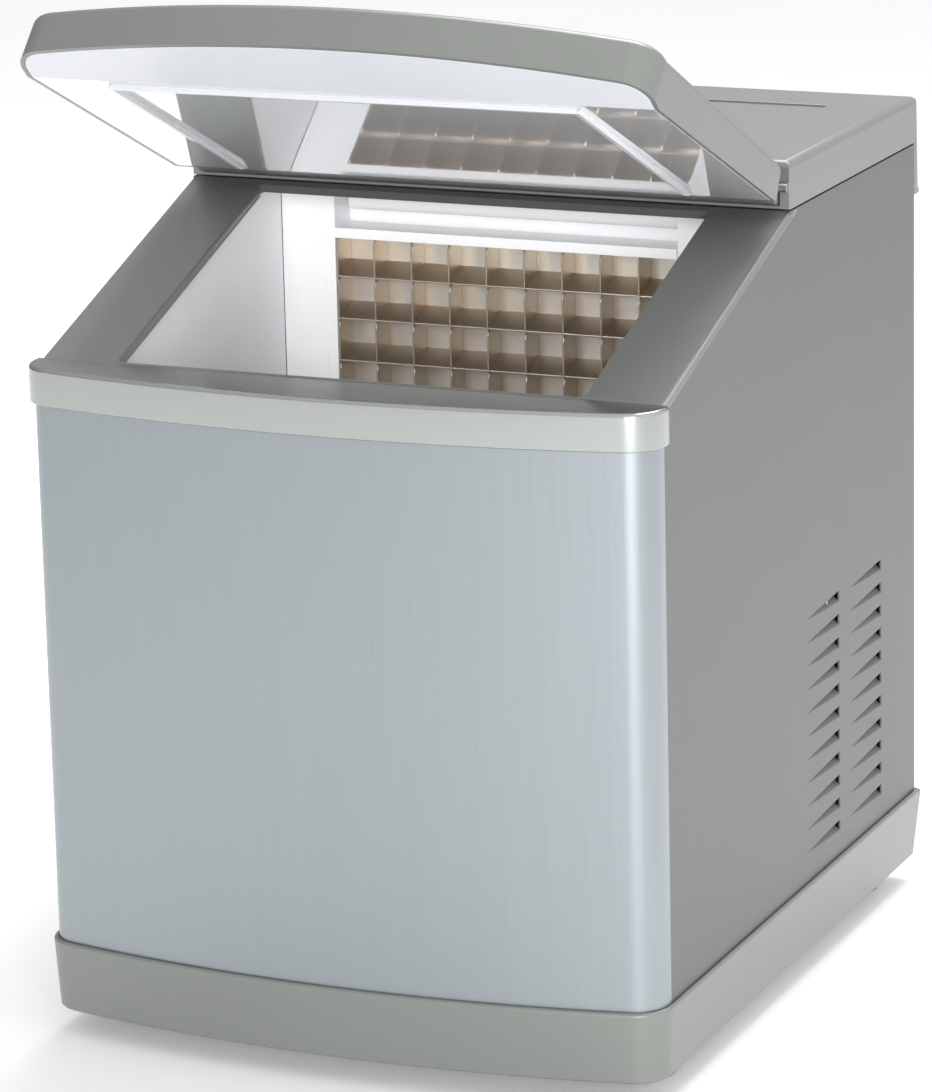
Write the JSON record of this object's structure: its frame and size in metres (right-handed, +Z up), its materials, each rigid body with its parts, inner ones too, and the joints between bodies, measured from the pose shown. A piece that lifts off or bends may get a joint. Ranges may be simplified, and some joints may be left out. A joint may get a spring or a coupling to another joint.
{
  "type": "ice maker",
  "caption": "Countertop ice maker with a bowed brushed front, sloping hinged lid held open, ice bin, vertical freezing grid and louvred sides",
  "frame": {"origin": "on the ground plane, under the middle of the whole machine", "axes": "+Z up, the bowed front faces -Y, +X is the machine's left-to-right seen from the front"},
  "size_m": [0.356, 0.4366, 0.5639],
  "materials": {
    "brushed_front_sheet": "vertical brushed, cool grey",
    "satin_side_sheet": "satin grey",
    "zinc_sheet": "plain zinc-plated sheet",
    "bright_trim": "bright horizontal brushed trim",
    "silver_plastic": "metallic silver moulding",
    "white_plastic": "smooth white food-safe moulding",
    "clear_liner": "glossy pale grey inner panel",
    "black_plastic": "fine-textured black",
    "panel_gloss": "smooth dark inlay",
    "display_glass": "tinted window",
    "lamp_lens": "tinted lens",
    "button_plastic": "satin silver cap",
    "nickel_plate": "nickel-plated, light",
    "nickel_grid": "nickel-plated copper, warm grey",
    "copper": "drawn copper tube",
    "fin_aluminium": "thin fin stock",
    "black_paint": "semi-gloss black paint on steel",
    "foam": "rigid insulating foam",
    "rubber_black": "moulded rubber",
    "hose_clear": "translucent silicone hose",
    "circuit_board": "glass-fibre board with parts",
    "steel_fastener": "plated steel",
    "motor_steel": "plain steel motor can",
    "brass_valve": "machined brass"
  },
  "bodies": {
    "cabinet": {"back_panel": "zinc_sheet", "base_pan": "zinc_sheet", "base_skirt": "silver_plastic", "bin_insulation": "foam", "bin_liner": "white_plastic", "board_bracket": "zinc_sheet", "capillary_tube": "copper", "compressor": "black_paint", "compressor_bolts": "steel_fastener", "compressor_grommets": "rubber_black", "condenser_fins": "fin_aluminium", "condenser_tube": "copper", "control_board": "circuit_board", "control_panel": "panel_gloss", "deck_frame": "silver_plastic", "discharge_line": "copper", "display_window": "display_glass", "drain_hose": "hose_clear", "drain_spout": "black_plastic", "evaporator_coil": "copper", "evaporator_frame": "white_plastic", "evaporator_grid": "nickel_grid", "evaporator_plate": "nickel_plate", "fan_motor": "motor_steel", "fan_shroud": "motor_steel", "feet": "silver_plastic", "filter_drier": "copper", "front_band": "bright_trim", "front_panel": "brushed_front_sheet", "hinge_pins": "steel_fastener", "hot_gas_line": "copper", "hot_gas_valve": "brass_valve", "ice_chute": "white_plastic", "indicator_lenses": "lamp_lens", "liquid_line": "copper", "panel_screws": "steel_fastener", "partition_wall": "zinc_sheet", "power_board": "circuit_board", "power_inlet": "black_plastic", "pump_hose": "hose_clear", "pump_housing": "black_plastic", "pump_motor": "black_plastic", "relay_cover": "black_plastic", "side_panel_left": "satin_side_sheet", "side_panel_right": "satin_side_sheet", "spray_tube": "white_plastic", "suction_line": "copper", "sump_tank": "white_plastic", "top_cover": "silver_plastic"},
    "lid": {"lid_shell": "silver_plastic", "lid_liner": "clear_liner", "lid_lip_trim": "white_plastic", "lid_rib_frame": "white_plastic"},
    "fan": {"fan_blades": "black_plastic"},
    "pump_rotor": {"pump_impeller": "black_plastic"},
    "drain_stopper": {"drain_plug": "rubber_black"},
    "power_key": {"power_button": "button_plastic"},
    "cube_size_key": {"cube_size_button": "button_plastic"},
    "timer_key": {"timer_button": "button_plastic"},
    "clean_key": {"clean_button": "button_plastic"}
  },
  "joints": [
    {"name": "lid_hinge", "type": "hinge", "parent": "cabinet", "child": "lid", "pos_m": [0, 0.005, 0.444], "axis": [1, 0, 0], "range_deg": [-36, 44]},
    {"name": "fan_spin", "type": "hinge", "parent": "cabinet", "child": "fan", "pos_m": [0.096, 0.088, 0.115], "axis": [1, 0, 0], "continuous": true},
    {"name": "pump_spin", "type": "hinge", "parent": "cabinet", "child": "pump_rotor", "pos_m": [0.084, 0.033, 0.208], "axis": [0, 0, 1], "continuous": true},
    {"name": "drain_plug_pull", "type": "slide", "parent": "cabinet", "child": "drain_stopper", "axis": [0, 1, 0], "range_m": [0, 0.03]},
    {"name": "power_press", "type": "slide", "parent": "cabinet", "child": "power_key", "axis": [0, 0, -1], "range_m": [0, 0.0012], "stiffness_N_per_m": 600, "springref_m": -0.0004},
    {"name": "cube_size_press", "type": "slide", "parent": "cabinet", "child": "cube_size_key", "axis": [0, 0, -1], "range_m": [0, 0.0012], "stiffness_N_per_m": 600, "springref_m": -0.0004},
    {"name": "timer_press", "type": "slide", "parent": "cabinet", "child": "timer_key", "axis": [0, 0, -1], "range_m": [0, 0.0012], "stiffness_N_per_m": 600, "springref_m": -0.0004},
    {"name": "clean_press", "type": "slide", "parent": "cabinet", "child": "clean_key", "axis": [0, 0, -1], "range_m": [0, 0.0012], "stiffness_N_per_m": 600, "springref_m": -0.0004}
  ]
}
